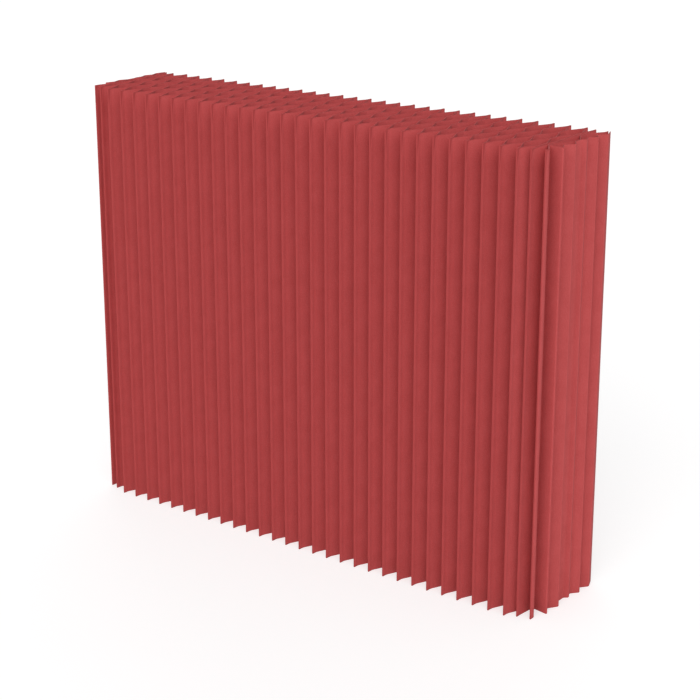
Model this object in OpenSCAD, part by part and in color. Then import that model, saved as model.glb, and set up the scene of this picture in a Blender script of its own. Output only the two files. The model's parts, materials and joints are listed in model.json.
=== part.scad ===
// Free-standing folding partition. Upright sheets of felt are glued to one another along
// staggered strips, so the wall is a honeycomb that pulls out and closes like an accordion.
// X runs along the wall, Y through its depth from front to back, and Z up.
// The origin lies on the floor under the middle of the wall.

/* [Wall] */
// Length of the wall, pulled fully out
wall_length = 2000; // [1400:10:2400]
// Depth of the wall, from its front tips to its back tips
wall_depth = 430; // [320:10:600]
// Height of the wall
wall_height = 1600; // [600:50:2400]

/* [Pleats] */
// Regular pleats between the two loose ends
pleats = 29; // [9:2:29]
// Slanted leaves that one sheet has from front to back
leaf_rows = 4; // [4:2:6]
// Depth of a glued strip; the strips at the front and back tips are half of it
strip_depth = 42; // [30:1:60]
// How far a bend reaches along the sheet, each way from its crease
bend_reach = 6; // [3:1:8]

/* [Sheet] */
// Thickness of the felt
sheet_thickness = 2; // [1:0.5:3]
// Thickness of the glue line between two sheets
glue_gap = 0.3; // [0.1:0.1:0.6]

/* [Loose ends] */
// From the last regular glue line out to the fins of the outermost sheet
end_reach = 79; // [75:1:100]
// How far the first end pleat stands back from the front tips
first_front_recess = 20; // [5:1:60]
// How far the second end pleat stands back from the front tips
second_front_recess = 30; // [5:1:80]
// How far both end pleats stand in from the back tips
back_recess = 14; // [5:1:40]
// How far the middle fin of an outermost sheet falls short of its other fins
middle_fin_fall = 9; // [0:1:10]
// How far the back edge of an outermost sheet stands off the second end pleat
tail_out = 6; // [3:1:20]

/* [Right end] */
// From the last regular glue line out to the first end pleat
right_first_tip_out = 8; // [5:1:10]
// From the last regular glue line out to where the two end pleats are glued together
right_pinch_out = 16; // [14:1:24]
// From the last regular glue line out to the second end pleat
right_second_tip_out = 55; // [48:1:58]
// How deep the hollows between the right end's fins go
right_fin_hollow = 24; // [8:1:28]

/* [Left end] */
// From the last regular glue line out to the first end pleat
left_first_tip_out = 27; // [12:1:32]
// From the last regular glue line out to where the two end pleats are glued together
left_pinch_out = 45; // [38:1:50]
// From the last regular glue line out to the second end pleat
left_second_tip_out = 63; // [58:1:66]
// How deep the hollows between the left end's fins go
left_fin_hollow = 12; // [6:1:14]

/* [Hidden] */
bend_steps = 4;                                    // straight steps in one bend
longest_bend = 0.45;                               // the share of a straight run that one bend may take
pitch = (wall_length - 2 * end_reach) / pleats;    // from one front tip to the next
pair = sheet_thickness + glue_gap;                 // from one glued sheet's middle to the other's
front = -wall_depth / 2;
back = wall_depth / 2;
row_depth = wall_depth / leaf_rows;                // from one row of glued strips to the next
half_strip = strip_depth / 2 / row_depth;          // half a strip, in rows
last_glue_line = wall_length / 2 - end_reach;
fin_rows = [0.70, 1.48, 2.32, 2.92, 3.56];         // how many rows back each of the five fins stands

felt_colour = [0.70, 0.28, 0.29];
deep_felt_colour = [0.62, 0.23, 0.25];

function sheet_name(number, side) = str("pleat_", number < 10 ? "0" : "", number, "_", side, "_sheet");

// A sheet's plan, front to back: strips at tip_x in the even rows and at glue_x in the odd
// ones, joined by slanted leaves.
function zigzag(tip_x, glue_x, from_y, to_y) =
    let (step = (to_y - from_y) / leaf_rows)
    [
        for (row = [0:leaf_rows])
            let (x = row % 2 == 0 ? tip_x : glue_x)
            each [
                [x, from_y + max(0, row - half_strip) * step],
                [x, from_y + min(leaf_rows, row + half_strip) * step]
            ]
    ];

// One bend, as a curve from before the crease to after it
function bend(before, crease, after) =
    let (
        reach_in = min(bend_reach, longest_bend * norm(before - crease)),
        reach_out = min(bend_reach, longest_bend * norm(after - crease)),
        a = crease + reach_in * (before - crease) / norm(before - crease),
        c = crease + reach_out * (after - crease) / norm(after - crease)
    )
    [
        for (i = [0:bend_steps])
            let (t = i / bend_steps)
            (1 - t) * (1 - t) * a + 2 * t * (1 - t) * crease + t * t * c
    ];

function with_bends(plan) = [
    plan[0],
    for (i = [1:len(plan) - 2]) each bend(plan[i - 1], plan[i], plan[i + 1]),
    plan[len(plan) - 1]
];

function left_of(from, to) = [from.y - to.y, to.x - from.x] / norm(to - from);

// The plan moved sideways by half the sheet's thickness
function one_side(plan, shift) = [
    for (i = [0:len(plan) - 1])
        let (
            here = plan[i],
            n_in = left_of(plan[max(i, 1) - 1], plan[max(i, 1)]),
            n_out = left_of(plan[min(i, len(plan) - 2)], plan[min(i, len(plan) - 2) + 1])
        )
        here + shift * (n_in + n_out) / (1 + n_in * n_out)
];

function reversed(list) = [for (i = [len(list) - 1:-1:0]) list[i]];

module sheet(plan) {
    line = with_bends(plan);
    linear_extrude(height = wall_height)
        polygon(concat(
            one_side(line, sheet_thickness / 2),
            reversed(one_side(line, -sheet_thickness / 2))
        ));
}

// One of a regular pleat's two sheets, side -1 for the left one and 1 for the right one
module pleat_sheet(number, side) {
    tip_x = (number - (pleats + 1) / 2) * pitch;
    color(side < 0 ? deep_felt_colour : felt_colour)
        translate([tip_x, 0, 0])
            sheet(zigzag(side * pair / 2, side * (pitch - pair) / 2, front, back));
}

// The plan of an end's outermost sheet. It is glued at the second end pleat's tips, tucks in
// to where that pleat is pinched, and stands out in fins. fin is where their creases lie.
function loose_plan(pinch, second_tip, fin_hollow, fin) =
    let (
        from_y = front + second_front_recess,
        step = (back - back_recess - from_y) / leaf_rows,
        seat = second_tip + pair / 2,
        hollow = fin - fin_hollow,
        // it bends in behind the pleat's own leaf, the thickness of a pair round the crease
        lean = atan((second_tip - pinch - pair) / (1 - 2 * half_strip) / step),
        turns = [
            [seat, 0],
            [seat, half_strip + pair * tan(lean / 2) / step],
            [pinch + 2 * pair, 1 - half_strip],
            [fin, fin_rows[0]],
            [hollow, (fin_rows[0] + fin_rows[1]) / 2],
            [fin, fin_rows[1]],
            [seat, 2 - half_strip],
            [seat, 2 + half_strip],
            [fin - middle_fin_fall, fin_rows[2]],
            [hollow, (fin_rows[2] + fin_rows[3]) / 2],
            [fin, fin_rows[3]],
            [hollow, (fin_rows[3] + fin_rows[4]) / 2],
            [fin, fin_rows[4]],
            [seat + tail_out, leaf_rows]
        ]
    )
    [for (turn = turns) [turn.x, from_y + turn.y * step]];

// How far out a plan reaches once its bends are round and the felt has its thickness
function reach_of(plan) = max([for (p = one_side(with_bends(plan), -sheet_thickness / 2)) p.x]);

// The four sheets outside the last regular pleat, x from its glue line outwards
module end_sheets(first_tip, pinch, second_tip, fin_hollow) {
    first_front = front + first_front_recess;
    second_front = front + second_front_recess;
    end_back = back - back_recess;
    overshoot = reach_of(loose_plan(pinch, second_tip, fin_hollow, end_reach)) - end_reach;
    sheet(zigzag(first_tip - pair / 2, pair / 2, first_front, end_back));
    sheet(zigzag(first_tip + pair / 2, pinch - pair / 2, first_front, end_back));
    sheet(zigzag(second_tip - pair / 2, pinch + pair / 2, second_front, end_back));
    sheet(loose_plan(pinch, second_tip, fin_hollow, end_reach - overshoot));
}

module right_end_sheets() {
    color(felt_colour)
        translate([last_glue_line, 0, 0])
            end_sheets(right_first_tip_out, right_pinch_out, right_second_tip_out, right_fin_hollow);
}

module left_end_sheets() {
    color(deep_felt_colour)
        mirror([1, 0, 0])
            translate([last_glue_line, 0, 0])
                end_sheets(left_first_tip_out, left_pinch_out, left_second_tip_out, left_fin_hollow);
}

for (number = [1:pleats]) {
    pleat_sheet(number, -1);
    pleat_sheet(number, 1);
}
left_end_sheets();
right_end_sheets();
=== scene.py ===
import json
import math

import bpy
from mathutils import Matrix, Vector


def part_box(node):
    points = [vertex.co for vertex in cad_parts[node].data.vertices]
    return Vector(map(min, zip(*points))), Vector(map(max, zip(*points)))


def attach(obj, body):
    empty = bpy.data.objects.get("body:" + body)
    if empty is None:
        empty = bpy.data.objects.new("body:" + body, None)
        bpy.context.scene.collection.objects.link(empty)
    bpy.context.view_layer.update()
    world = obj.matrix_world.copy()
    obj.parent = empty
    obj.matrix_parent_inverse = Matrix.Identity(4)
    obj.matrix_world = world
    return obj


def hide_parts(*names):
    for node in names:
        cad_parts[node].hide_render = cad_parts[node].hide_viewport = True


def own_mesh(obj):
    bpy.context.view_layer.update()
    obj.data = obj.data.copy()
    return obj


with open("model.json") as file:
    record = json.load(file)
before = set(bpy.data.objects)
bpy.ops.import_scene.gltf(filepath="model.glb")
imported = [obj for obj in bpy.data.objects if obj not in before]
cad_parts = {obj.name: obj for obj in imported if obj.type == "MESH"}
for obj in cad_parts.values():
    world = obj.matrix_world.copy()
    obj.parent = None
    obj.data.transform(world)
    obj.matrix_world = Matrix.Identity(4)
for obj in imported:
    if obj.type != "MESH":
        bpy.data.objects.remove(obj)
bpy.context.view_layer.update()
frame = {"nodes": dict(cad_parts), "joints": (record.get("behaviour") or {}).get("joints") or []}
print("frame loaded:", len(frame["nodes"]), "CAD nodes")

white = (1.0, 1.0, 1.0, 1.0)
tiny = 0.0001    # keeps a division off zero and a whole number from being rounded down


# A node's output. Sums on it add Math nodes to its tree, or Vector Math where it is a vector.
class Wire:
    def __init__(self, tree, socket):
        self.tree = tree
        self.socket = socket

    def output(self, name):
        return Wire(self.tree, self.socket.node.outputs[name])

    def isVector(self):
        return self.socket.type == "VECTOR"

    def worked(self, operation, first, second=None):
        kind = "ShaderNodeVectorMath" if self.isVector() else "ShaderNodeMath"
        values = {0: first} if second is None else {0: first, 1: second}
        return self.tree.node(kind, {"operation": operation}, values)

    def __add__(self, other):
        return self.worked("ADD", self, other)

    def __radd__(self, other):
        return self.worked("ADD", other, self)

    def __sub__(self, other):
        return self.worked("SUBTRACT", self, other)

    def __rsub__(self, other):
        return self.worked("SUBTRACT", other, self)

    def __mul__(self, other):
        return self.scaled(other) if self.isVector() else self.worked("MULTIPLY", self, other)

    def __rmul__(self, other):
        return self * other

    def __truediv__(self, other):
        return self.worked("DIVIDE", self, other)

    def __pow__(self, other):
        return self.worked("POWER", self, other)

    # a vector or a colour times a number
    def scaled(self, factor):
        return self.tree.node(
            "ShaderNodeVectorMath", {"operation": "SCALE"}, {0: self, "Scale": factor}
        )

    def whole(self):
        return self.worked("FLOOR", self)

    def least(self, other):
        return self.worked("MINIMUM", self, other)

    def most(self, other):
        return self.worked("MAXIMUM", self, other)

    def size(self):
        return self.worked("ABSOLUTE", self)

    def unit(self):
        return self.worked("NORMALIZE", self)

    def length(self):
        return self.worked("LENGTH", self).output("Value")

    def along(self, other):
        return self.worked("DOT_PRODUCT", self, other).output("Value")

    def part(self, axis):
        return self.tree.node("ShaderNodeSeparateXYZ", {}, {0: self}).output(axis)

    # 0 below low, 1 above high, smooth between
    def ramped(self, low, high):
        return self.tree.node(
            "ShaderNodeMapRange",
            {"interpolation_type": "SMOOTHSTEP"},
            {"Value": self, "From Min": low, "From Max": high},
        )


# A shader or geometry tree. node() takes a node's type, its settings, and its sockets' values or
# wires, and gives a wire from its first output.
class Tree:
    def __init__(self, nodeTree):
        self.nodeTree = nodeTree

    def node(self, kind, settings=None, sockets=None):
        made = self.nodeTree.nodes.new(kind)
        for name, value in (settings or {}).items():
            setattr(made, name, value)
        for name, value in (sockets or {}).items():
            target = made.inputs[name] if isinstance(name, int) else openSocket(made.inputs, name)
            if isinstance(value, Wire):
                self.nodeTree.links.new(value.socket, target)
            else:
                target.default_value = value
        shown = [s for s in made.outputs if s.enabled]
        return Wire(self, shown[0]) if shown else made

    def vector(self, x=0.0, y=0.0, z=0.0):
        return self.node("ShaderNodeCombineXYZ", {}, {"X": x, "Y": y, "Z": z})


def openSocket(sockets, name):
    return next(s for s in sockets if s.name == name and s.enabled)


camera = {
    "place": (3.849, -4.905, 2.721),
    "turn": 52.39,          # degrees from facing -X towards facing +Y
    "tilt": 17.86,          # degrees down
    "focalPixels": 1804,    # of the picture's side
    "pictureSide": 700,
    "sensor": 36,
    "farthest": 100,
}


# The turn of a camera or lamp that looks so many degrees from -X towards +Y, and so many down
def facing(turn, down):
    turn, down = math.radians(turn), math.radians(down)
    level = math.cos(down)
    ahead = Vector((-math.cos(turn) * level, math.sin(turn) * level, -math.sin(down)))
    return ahead.to_track_quat("-Z", "Y").to_euler()


def makeCamera(c):
    data = bpy.data.cameras.new("camera")
    data.sensor_width = c["sensor"]
    data.lens = c["focalPixels"] / c["pictureSide"] * c["sensor"]
    data.clip_end = c["farthest"]
    made = bpy.data.objects.new("camera", data)
    made.location = c["place"]
    made.rotation_euler = facing(c["turn"], c["tilt"])
    bpy.context.scene.collection.objects.link(made)
    bpy.context.scene.camera = made


makeCamera(camera)
print("camera placed")

studio = {
    "worldColour": white,
    "worldStrength": 0.43,
    # each lamp's place, in degrees from +X towards -Y and up from the floor, and its strength
    "lamps": {
        "keyLight": (45, 30, 0.79),
        "frontLight": (70, 30, 1.36),
        "backLight": (235, 25, 0.67),
    },
    "lampSpread": 50,                        # degrees; a wide source gives soft shadows
    "floorSide": 60,
    "floorColour": (0.80, 0.80, 0.80, 1.0),
    "floorShown": (0.55, 0.55, 0.55, 1.0),   # what the camera sees of it, with the glow over it
    "floorGlow": 0.58,
}


# 1 for what the camera sees, also in a mirror or through glass, and 0 for the light on the object
def shownRays(tree):
    rays = tree.node("ShaderNodeLightPath")
    mirrored = rays.output("Is Glossy Ray").most(rays.output("Is Transmission Ray"))
    return rays.output("Is Camera Ray").most(mirrored)


# White to look at, and a plain level of light on the object
def makeWorld(s):
    world = bpy.data.worlds.new("studioWorld")
    world.use_nodes = True
    world.node_tree.nodes.clear()
    tree = Tree(world.node_tree)
    light = tree.node(
        "ShaderNodeBackground", {}, {"Color": s["worldColour"], "Strength": s["worldStrength"]}
    )
    backdrop = tree.node("ShaderNodeBackground", {}, {"Color": white, "Strength": 1.0})
    mixed = tree.node("ShaderNodeMixShader", {}, {0: shownRays(tree), 1: light, 2: backdrop})
    tree.node("ShaderNodeOutputWorld", {}, {"Surface": mixed})
    bpy.context.scene.world = world


def makeLamps(s):
    for name, (around, up, strength) in s["lamps"].items():
        data = bpy.data.lights.new(name, "SUN")
        data.energy = strength
        data.angle = math.radians(s["lampSpread"])
        made = bpy.data.objects.new(name, data)
        made.rotation_euler = facing(around, up)
        bpy.context.scene.collection.objects.link(made)


def makeFloor(s):
    half = s["floorSide"] / 2
    corners = [(-half, -half, 0), (half, -half, 0), (half, half, 0), (-half, half, 0)]
    mesh = bpy.data.meshes.new("studioFloor")
    mesh.from_pydata(corners, [], [(0, 1, 2, 3)])
    floor = bpy.data.objects.new("studioFloor", mesh)
    bpy.context.scene.collection.objects.link(floor)
    paint = bpy.data.materials.new("studioFloorPaint")
    paint.use_nodes = True
    paint.node_tree.nodes.clear()
    tree = Tree(paint.node_tree)
    matt = tree.node("ShaderNodeBsdfDiffuse", {}, {"Color": s["floorColour"]})
    shown = tree.node("ShaderNodeBsdfDiffuse", {}, {"Color": s["floorShown"]})
    glow = tree.node("ShaderNodeEmission", {}, {"Color": white, "Strength": s["floorGlow"]})
    glowing = tree.node("ShaderNodeAddShader", {}, {0: shown, 1: glow})
    mixed = tree.node("ShaderNodeMixShader", {}, {0: shownRays(tree), 1: matt, 2: glowing})
    tree.node("ShaderNodeOutputMaterial", {}, {"Surface": mixed})
    mesh.materials.append(paint)


makeWorld(studio)
makeLamps(studio)
makeFloor(studio)
bpy.context.scene.view_settings.view_transform = "Standard"
print("studio ready")

felt = {
    "colour": (0.492, 0.079, 0.079, 1.0),
    "deepColour": (0.420, 0.060, 0.060, 1.0),
    "fibreColour": (0.55, 0.115, 0.116, 1.0),
    # painted shade near the cuts: a darker red that damps the light the rims and the tips' edges
    # catch
    "cutShadeColour": (0.40, 0.056, 0.056, 1.0),
    "mottlePerMetre": 16,
    "mottleDetail": 3.0,
    "clumpsPerMetre": 260,
    "clumpDetail": 2.0,
    "cloudRamp": (0.3, 0.7),        # between these levels of noise, mottle and clumps come up
    "cloudDepth": 0.35,             # how far each of them brings the deep colour in
    "fibresPerMetre": 900,
    "fibreDetail": 1.0,
    "fibreKinks": 0.6,
    "fibreStretch": 7,              # how much longer than wide a fibre is
    "fibreTurns": (24, -38, 81),    # degrees; the three ways that fibres lie
    "fibreRamp": (0.58, 0.80),      # between these levels of noise, a fibre comes up
    "fibreShare": 0.5,              # how far a fibre brings its own colour in
    "fibreHeight": 0.7,             # shares of the surface's relief
    "clumpHeight": 0.3,
    "reliefHeight": 0.0005,
    "reliefStrength": 0.45,
    "roughness": (0.84, 0.98),      # of a fibre on top, and of the felt between
    "sheen": 0.05,
    "sheenRoughness": 0.45,
    "sheenColour": (1.0, 0.80, 0.80, 1.0),
    "shine": 0.12,
    "cutShadeWidth": 0.0012,            # painted shade: how far in from a cut the felt is drawn darker, damping the light on the rims
    "cutShadeShare": 0.9,
    "stripPaintedLight": 0.18,         # painted light: how much lighter a glued strip is drawn, lifting the shade it stands in between the pleats
}


# Felt in its sheet's own UV map, which is in metres
def feltMaterial(f):
    made = bpy.data.materials.new("feltRed")
    made.use_nodes = True
    made.node_tree.nodes.clear()
    tree = Tree(made.node_tree)
    place = tree.node("ShaderNodeUVMap", {"uv_map": "UVMap"})

    # fibres lying one way: the pattern is turned, then squeezed across their length
    def fibres(turn):
        laid = tree.node(
            "ShaderNodeMapping",
            {"vector_type": "TEXTURE"},
            {
                "Vector": place,
                "Rotation": (0, 0, math.radians(turn)),
                "Scale": (f["fibreStretch"], 1, 1),
            },
        )
        return tree.node(
            "ShaderNodeTexNoise",
            {"noise_dimensions": "2D"},
            {
                "Vector": laid,
                "Scale": f["fibresPerMetre"],
                "Detail": f["fibreDetail"],
                "Distortion": f["fibreKinks"],
            },
        )

    def cloud(perMetre, detail):
        noise = tree.node(
            "ShaderNodeTexNoise",
            {"noise_dimensions": "2D"},
            {"Vector": place, "Scale": perMetre, "Detail": detail},
        )
        return noise.ramped(*f["cloudRamp"])

    def mixed(factor, first, second):
        return tree.node(
            "ShaderNodeMix", {"data_type": "RGBA"}, {"Factor": factor, "A": first, "B": second}
        )

    # a value that the sheet's mesh carries
    def carried(name):
        return tree.node("ShaderNodeAttribute", {"attribute_name": name}).output("Fac")

    mottle = cloud(f["mottlePerMetre"], f["mottleDetail"])
    clumps = cloud(f["clumpsPerMetre"], f["clumpDetail"])
    firstWay, secondWay, thirdWay = [fibres(turn) for turn in f["fibreTurns"]]
    strands = firstWay.most(secondWay).most(thirdWay)
    fibreMask = strands.ramped(*f["fibreRamp"])
    # painted shade within a cut's width, which damps the light that the rims and the tips' edges
    # catch
    edge = 1 - carried("cutDistance").ramped(0.0, f["cutShadeWidth"])

    clouds = mottle * f["cloudDepth"] + clumps * f["cloudDepth"]
    shade = mixed(clouds, f["colour"], f["deepColour"])
    hairy = mixed(fibreMask * f["fibreShare"], shade, f["fibreColour"])
    # painted light: the glued strips are drawn lighter, against the shade that falls on them
    # between the pleats
    stripLitColour = hairy.scaled(carried("paintedLightStrips") * f["stripPaintedLight"] + 1)
    colour = mixed(edge * f["cutShadeShare"], stripLitColour, f["cutShadeColour"])

    low, high = f["roughness"]
    relief = tree.node(
        "ShaderNodeBump",
        {},
        {
            "Strength": f["reliefStrength"],
            "Distance": f["reliefHeight"],
            "Height": strands * f["fibreHeight"] + clumps * f["clumpHeight"],
        },
    )
    surface = tree.node(
        "ShaderNodeBsdfPrincipled",
        {},
        {
            "Base Color": colour,
            "Roughness": low + (high - low) * (1 - fibreMask),
            "Normal": relief,
            "Specular IOR Level": f["shine"],
            "Sheen Weight": f["sheen"],
            "Sheen Roughness": f["sheenRoughness"],
            "Sheen Tint": f["sheenColour"],
        },
    )
    tree.node("ShaderNodeOutputMaterial", {}, {"Surface": surface})
    return made


feltRed = feltMaterial(felt)
print("felt dyed")

sheetMaking = {
    "thickness": 0.002,
    "nap": 0.00029,         # the felt's hairs, which fill the glued gaps and keep light out
    "bendReach": 0.010,     # how far a bend reaches along the sheet, each way from its crease
    "bendSteps": 5,
    "leafStep": 0.012,      # longest step along a flat run
    "levels": 20,           # steps up the sheet
    "bulge": 0.0008,        # how far a free leaf waves out of its plane
    "waveAlong": 9,         # waves in a metre, along the sheet and up it
    "waveUp": 2.2,
    "waveSpread": 3,        # spreads the waves' noise, which keeps near its middle, to the bulge
    "waveStep": 7.3,        # from one sheet's place in that noise to the next one's
    "freeSlant": (0.12, 0.5),   # how far a run leans to X where it starts to wave, and fully does
    "sheetShift": 0.618,    # each sheet takes its felt from further along the roll
    "cutRounding": 0.0005,  # how far the knife's edges are worn round
    "cutSegments": 2,
    "sharpAngle": 40,       # degrees
}

# The inputs that both trees below have
feltInputs = {
    "Height": "NodeSocketFloat",
    "Bend Reach": "NodeSocketFloat",
    "Bend Steps": "NodeSocketInt",
    "Leaf Step": "NodeSocketFloat",
    "Levels": "NodeSocketInt",
    "Bulge": "NodeSocketFloat",
    "Wave Along": "NodeSocketFloat",
    "Wave Up": "NodeSocketFloat",
    "Sheet Shift": "NodeSocketFloat",
    "Seed": "NodeSocketInt",
    "Material": "NodeSocketMaterial",
}
# and the values that most sheets share
sharedInputs = {
    "Bend Reach": "bendReach",
    "Bend Steps": "bendSteps",
    "Leaf Step": "leafStep",
    "Levels": "levels",
    "Bulge": "bulge",
    "Wave Along": "waveAlong",
    "Wave Up": "waveUp",
    "Sheet Shift": "sheetShift",
}


# Starts a geometry tree with named inputs, and gives the tree and a wire from each input
def openTree(name, inputs):
    nodeTree = bpy.data.node_groups.new(name, "GeometryNodeTree")
    nodeTree.is_modifier = True
    for label, kind in inputs.items():
        nodeTree.interface.new_socket(label, in_out="INPUT", socket_type=kind)
    nodeTree.interface.new_socket("Felt", in_out="OUTPUT", socket_type="NodeSocketGeometry")
    tree = Tree(nodeTree)
    source = nodeTree.nodes.new("NodeGroupInput")
    return tree, {label: Wire(tree, source.outputs[label]) for label in inputs}


def closeTree(tree, made, material):
    real = tree.node("GeometryNodeRealizeInstances", {}, {"Geometry": made})
    dyed = tree.node("GeometryNodeSetMaterial", {}, {"Geometry": real, "Material": material})
    tree.node("NodeGroupOutput", {}, {"Felt": dyed})
    return tree.nodeTree


def inputName(nodeTree, label):
    inputs = [i for i in nodeTree.interface.items_tree if i.in_out == "INPUT"]
    return next(i.identifier for i in inputs if i.name == label)


# The plan as a curve, with its creases rounded and its straight runs in steps
def bentLine(tree, given):
    index = tree.node("GeometryNodeInputIndex")
    position = tree.node("GeometryNodeInputPosition")

    def neighbour(step):
        return tree.node(
            "GeometryNodeFieldAtIndex",
            {"data_type": "FLOAT_VECTOR", "domain": "POINT"},
            {"Index": index + step, "Value": position},
        )

    # a round bend reaches as far as it should if its radius is that reach / tan(turn / 2)
    before = (position - neighbour(-1)).unit()
    after = (neighbour(1) - position).unit()
    straight = before.along(after)
    tanHalfTurn = ((1 - straight).most(tiny) / (1 + straight).most(tiny)) ** 0.5
    line = tree.node("GeometryNodeMeshToCurve", {}, {"Mesh": given["Plan"]})
    rounded = tree.node(
        "GeometryNodeFilletCurve",
        {"mode": "POLY"},
        {
            "Curve": line,
            "Count": given["Bend Steps"],
            "Radius": given["Bend Reach"] / tanHalfTurn,
            "Limit Radius": True,
        },
    )
    cuts = ((neighbour(1) - position).length() / given["Leaf Step"]).whole()
    return tree.node("GeometryNodeSubdivideCurve", {}, {"Curve": rounded, "Cuts": cuts})


# Felt from a plan line: rounds its creases, gives it height, lets its leaves wave and lays
# out its UV map, in metres along the sheet and up it.
def feltFromPlan():
    tree, given = openTree("feltFromPlan", {"Plan": "NodeSocketGeometry", **feltInputs})
    line = bentLine(tree, given)

    # a grid with a column of points for each of the line's points
    points = tree.node(
        "GeometryNodeAttributeDomainSize", {"component": "CURVE"}, {"Geometry": line}
    )
    rows = given["Levels"] + 1
    grid = tree.node(
        "GeometryNodeMeshGrid",
        {},
        {"Vertices X": points.output("Point Count"), "Vertices Y": rows},
    )
    index = tree.node("GeometryNodeInputIndex")
    column = (index / rows + tiny).whole()
    row = index - column * rows

    def onLine(kind, field):
        return tree.node(
            "GeometryNodeSampleIndex",
            {"data_type": kind, "domain": "POINT"},
            {"Geometry": line, "Value": field, "Index": column},
        )

    ground = onLine("FLOAT_VECTOR", tree.node("GeometryNodeInputPosition"))
    tangent = onLine("FLOAT_VECTOR", tree.node("GeometryNodeInputTangent"))
    travelled = onLine("FLOAT", tree.node("GeometryNodeSplineParameter").output("Length"))
    whole = tree.node("GeometryNodeCurveLength", {}, {"Curve": line})
    up = row / given["Levels"] * given["Height"]

    # glued strips run straight back and stay flat; slanted leaves are free to wave
    free = tangent.part("X").size().ramped(*sheetMaking["freeSlant"])
    wave = tree.node(
        "ShaderNodeTexNoise",
        {"noise_dimensions": "4D"},
        {
            "Vector": tree.vector(travelled * given["Wave Along"], up * given["Wave Up"]),
            "W": given["Seed"] * sheetMaking["waveStep"],
            "Scale": 1.0,
            "Detail": 1.0,
        },
    )
    outwards = tree.vector(tangent.part("Y"), tangent.part("X") * -1)
    swing = (wave - 0.5) * sheetMaking["waveSpread"]
    waved = outwards * (swing * given["Bulge"] * free)
    stood = tree.node(
        "GeometryNodeSetPosition",
        {},
        {"Geometry": grid.output("Mesh"), "Position": ground + tree.vector(z=up) + waved},
    )

    def stored(geometry, name, kind, domain, field):
        return tree.node(
            "GeometryNodeStoreNamedAttribute",
            {"data_type": kind, "domain": domain},
            {"Geometry": geometry, "Name": name, "Value": field},
        )

    cut = travelled.least(whole - travelled).least(up).least(given["Height"] - up)
    feltPlace = tree.vector(travelled + given["Seed"] * given["Sheet Shift"], up)
    stood = stored(stood, "cutDistance", "FLOAT", "POINT", cut)
    # the glued strips, which the felt draws with painted light
    stood = stored(stood, "paintedLightStrips", "FLOAT", "POINT", 1 - free)
    stood = stored(stood, "feltPlace", "FLOAT_VECTOR", "POINT", feltPlace)
    laid = tree.node(
        "GeometryNodeInputNamedAttribute", {"data_type": "FLOAT_VECTOR"}, {"Name": "feltPlace"}
    )
    stood = stored(stood, "UVMap", "FLOAT2", "CORNER", laid)
    stood = tree.node("GeometryNodeRemoveAttribute", {}, {"Geometry": stood, "Name": "feltPlace"})
    smooth = tree.node(
        "GeometryNodeSetShadeSmooth", {}, {"Geometry": stood, "Shade Smooth": True}
    )
    return closeTree(tree, smooth, given["Material"])


feltGroup = feltFromPlan()


# A sheet by rule: strips at the tips' plane in the even rows and at the glue's plane in the
# odd ones, with slanted leaves between.
def zigzagFelt():
    own = {
        "Tip X": "NodeSocketFloat",
        "Glue X": "NodeSocketFloat",
        "From Y": "NodeSocketFloat",
        "To Y": "NodeSocketFloat",
        "Strip Depth": "NodeSocketFloat",
        "Leaf Rows": "NodeSocketInt",
    }
    tree, given = openTree("zigzagFelt", {**own, **feltInputs})

    # two points in each row, where its strip begins and ends; side is -1 or 1
    index = tree.node("GeometryNodeInputIndex")
    row = (index / 2 + tiny).whole()
    side = (index - row * 2) * 2 - 1
    odd = row - (row / 2 + tiny).whole() * 2
    x = given["Tip X"] + (given["Glue X"] - given["Tip X"]) * odd
    rowStep = (given["To Y"] - given["From Y"]) / given["Leaf Rows"]
    y = given["From Y"] + row * rowStep + side * given["Strip Depth"] / 2
    y = y.most(given["From Y"]).least(given["To Y"])
    line = tree.node("GeometryNodeMeshLine", {}, {"Count": (given["Leaf Rows"] + 1) * 2})
    plan = tree.node(
        "GeometryNodeSetPosition", {}, {"Geometry": line, "Position": tree.vector(x, y)}
    )
    made = tree.node(
        "GeometryNodeGroup",
        {"node_tree": feltGroup},
        {"Plan": plan, **{label: given[label] for label in feltInputs}},
    )
    return closeTree(tree, made, given["Material"])


zigzagGroup = zigzagFelt()


# Runs a tree on an object, thickens the felt, wears its cuts round and keeps the result as
# the object's plain mesh
def madeOfFelt(name, mesh, nodeTree, values, height, seed):
    s = sheetMaking
    piece = bpy.data.objects.new(name, mesh)
    bpy.context.scene.collection.objects.link(piece)
    modifier = piece.modifiers.new("felt", "NODES")
    modifier.node_group = nodeTree
    shared = {label: s[key] for label, key in sharedInputs.items()}
    given = {**shared, **values, "Height": height, "Seed": seed, "Material": feltRed}
    for label, value in given.items():
        modifier[inputName(nodeTree, label)] = value
    thick = piece.modifiers.new("thickness", "SOLIDIFY")
    thick.thickness = s["thickness"] + s["nap"]
    thick.offset = 0
    thick.use_even_offset = True
    worn = piece.modifiers.new("wornCuts", "BEVEL")
    worn.width = s["cutRounding"]
    worn.segments = s["cutSegments"]
    worn.limit_method = "ANGLE"
    worn.angle_limit = math.radians(s["sharpAngle"])
    graph = bpy.context.evaluated_depsgraph_get()
    plain = bpy.data.meshes.new_from_object(
        piece.evaluated_get(graph), preserve_all_data_layers=True, depsgraph=graph
    )
    piece.modifiers.clear()
    piece.data = plain
    plain.name = name
    plain.shade_smooth()
    plain.set_sharp_from_angle(angle=math.radians(s["sharpAngle"]))
    return piece


def foldTravel(name):
    return max(abs(v) for v in next(j for j in frame["joints"] if j["name"] == name)["range_m"])


wall = {
    "pleats": 29,
    "middlePleat": 15,
    "leafRows": 4,
    "stripDepth": 0.042,
    "glueGap": 0.0003,
    "flatWidth": 0.454,     # of one sheet's felt before it is creased
}


# The middle pleat is the one that stands still, so its sheets close with their neighbours' joints
def jointOf(number, side):
    if number == wall["middlePleat"]:
        return f"fold_pleat_{number + side:02d}"
    return f"fold_pleat_{number:02d}"


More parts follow.
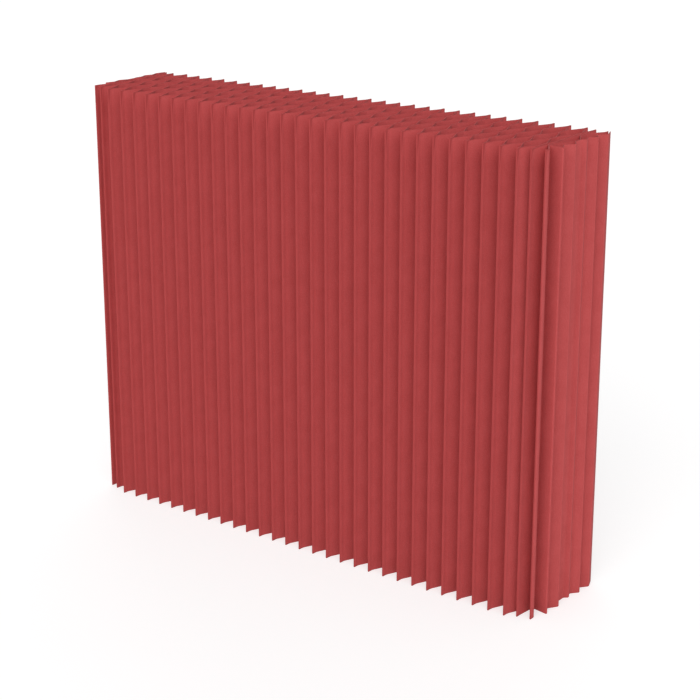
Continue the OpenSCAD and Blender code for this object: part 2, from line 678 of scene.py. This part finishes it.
# Two sheets for each pleat, which are glued to each other at the tips' plane
def regularSheets(w):
    halfFelt = sheetMaking["thickness"] / 2
    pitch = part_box("pleat_02_left_sheet")[0].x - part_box("pleat_01_left_sheet")[0].x
    for number in range(1, w["pleats"] + 1):
        for side, word in ((-1, "left"), (1, "right")):
            node = f"pleat_{number:02d}_{word}_sheet"
            low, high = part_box(node)
            tipX, glueX = low.x + halfFelt, high.x - halfFelt
            if side < 0:
                tipX, glueX = glueX, tipX
            piece = madeOfFelt(
                f"felt_{number:02d}_{word}",
                bpy.data.meshes.new(node),
                zigzagGroup,
                {
                    "Tip X": tipX,
                    "Glue X": glueX,
                    "From Y": low.y,
                    "To Y": high.y,
                    "Strip Depth": w["stripDepth"],
                    "Leaf Rows": w["leafRows"],
                },
                high.z - low.z,
                number * 2 + (side > 0),
            )
            joint = jointOf(number, side)
            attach(piece, f"pleat_{number:02d}")
            1 - foldTravel(joint) / pitch
            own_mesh(piece)
            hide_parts(node)


regularSheets(wall)
print("regular pleats folded:", wall["pleats"])

looseEnds = {
    "reach": 0.079,             # from the last regular glue line out to the fins
    "firstRecess": 0.020,       # how far the end pleats stand back from the front tips
    "secondRecess": 0.030,
    "backRecess": 0.014,        # and in from the back ones
    "finRows": (0.70, 1.48, 2.32, 2.92, 3.56),   # how many rows back each fin stands
    "middleFinFall": 0.009,     # how far the middle fin falls short of the others
    "tail": 0.006,              # how far the back edge stands off the second end pleat
    "bulge": 0.0003,
    "bendReach": 0.006,         # tighter than in the wall, because some runs here are short
    # the two tips, the pinch between them and the fins' creases, from the last regular glue
    # line, then how deep the fins' hollows go and how wide each sheet is before it is creased
    "right": {
        "firstTip": 0.008,
        "pinch": 0.016,
        "secondTip": 0.055,
        "finCrease": 0.0794,
        "finHollow": 0.024,
        "flatWidths": (0.397, 0.397, 0.426, 0.506),
        "firstSeed": 70,
    },
    "left": {
        "firstTip": 0.027,
        "pinch": 0.045,
        "secondTip": 0.063,
        "finCrease": 0.0787,
        "finHollow": 0.012,
        "flatWidths": (0.414, 0.404, 0.394, 0.433),
        "firstSeed": 80,
    },
}


# The outermost sheet's turns, front to back, as (x from the last glue line, rows back)
def looseTurns(e, own, pair, halfStrip, step):
    seat = own["secondTip"] + pair / 2
    # it bends in behind the pleat's own leaf, the thickness of a pair round the crease
    lean = math.atan((own["secondTip"] - own["pinch"] - pair) / (1 - 2 * halfStrip) / step)
    fin, rows = own["finCrease"], e["finRows"]
    hollow = fin - own["finHollow"]
    return [
        (seat, 0),
        (seat, halfStrip + pair * math.tan(lean / 2) / step),
        (own["pinch"] + 2 * pair, 1 - halfStrip),
        (fin, rows[0]),
        (hollow, (rows[0] + rows[1]) / 2),
        (fin, rows[1]),
        (seat, 2 - halfStrip),
        (seat, 2 + halfStrip),
        (fin - e["middleFinFall"], rows[2]),
        (hollow, (rows[2] + rows[3]) / 2),
        (fin, rows[3]),
        (hollow, (rows[3] + rows[4]) / 2),
        (fin, rows[4]),
        (seat + e["tail"], wall["leafRows"]),
    ]


# Three zigzag sheets that make two narrower pleats, and the outermost sheet with its fins
def endSheets(e, side, word):
    own = e[word]
    node = f"{word}_end_sheets"
    low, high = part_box(node)
    height = high.z - low.z
    outermost = high.x if side > 0 else low.x
    start = outermost - side * e["reach"]
    pleatLow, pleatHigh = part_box("pleat_01_left_sheet")
    pair = sheetMaking["thickness"] + wall["glueGap"]
    pleatRow = (pleatHigh.y - pleatLow.y) / wall["leafRows"]
    # half a strip in rows, so that a narrower pleat has narrower strips
    halfStrip = wall["stripDepth"] / 2 / pleatRow
    firstY, secondY = pleatLow.y + e["firstRecess"], pleatLow.y + e["secondRecess"]
    endY = pleatHigh.y - e["backRecess"]
    looser = {"Bulge": e["bulge"], "Bend Reach": e["bendReach"]}
    zigzags = [
        (own["firstTip"] - pair / 2, pair / 2, firstY),
        (own["firstTip"] + pair / 2, own["pinch"] - pair / 2, firstY),
        (own["secondTip"] - pair / 2, own["pinch"] + pair / 2, secondY),
    ]
    pieces = []
    for number, (tip, glue, fromY) in enumerate(zigzags, 1):
        pieces.append(
            madeOfFelt(
                f"felt_{word}_end_{number}",
                bpy.data.meshes.new(f"{node}_{number}"),
                zigzagGroup,
                {
                    "Tip X": start + side * tip,
                    "Glue X": start + side * glue,
                    "From Y": fromY,
                    "To Y": endY,
                    "Strip Depth": 2 * halfStrip * (endY - fromY) / wall["leafRows"],
                    "Leaf Rows": wall["leafRows"],
                    **looser,
                },
                height,
                own["firstSeed"] + number,
            )
        )
    plan = bpy.data.meshes.new(f"{node}_4")
    step = (endY - secondY) / wall["leafRows"]
    turns = [
        (start + side * x, secondY + rows * step, 0)
        for x, rows in looseTurns(e, own, pair, halfStrip, step)
    ]
    plan.from_pydata(turns, [(i, i + 1) for i in range(len(turns) - 1)], [])
    pieces.append(
        madeOfFelt(f"felt_{word}_end_4", plan, feltGroup, looser, height, own["firstSeed"] + 4)
    )
    joint = f"fold_{word}_end"
    # the last pleat's own sheet takes up half of the joint's travel, and the end the other half
    keep = 1 - foldTravel(joint) / 2 / e["reach"]
    for piece, flatWidth in zip(pieces, own["flatWidths"]):
        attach(piece, f"{word}_end")
        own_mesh(piece)
        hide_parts(node)


endSheets(looseEnds, 1, "right")
endSheets(looseEnds, -1, "left")
print("loose ends folded")
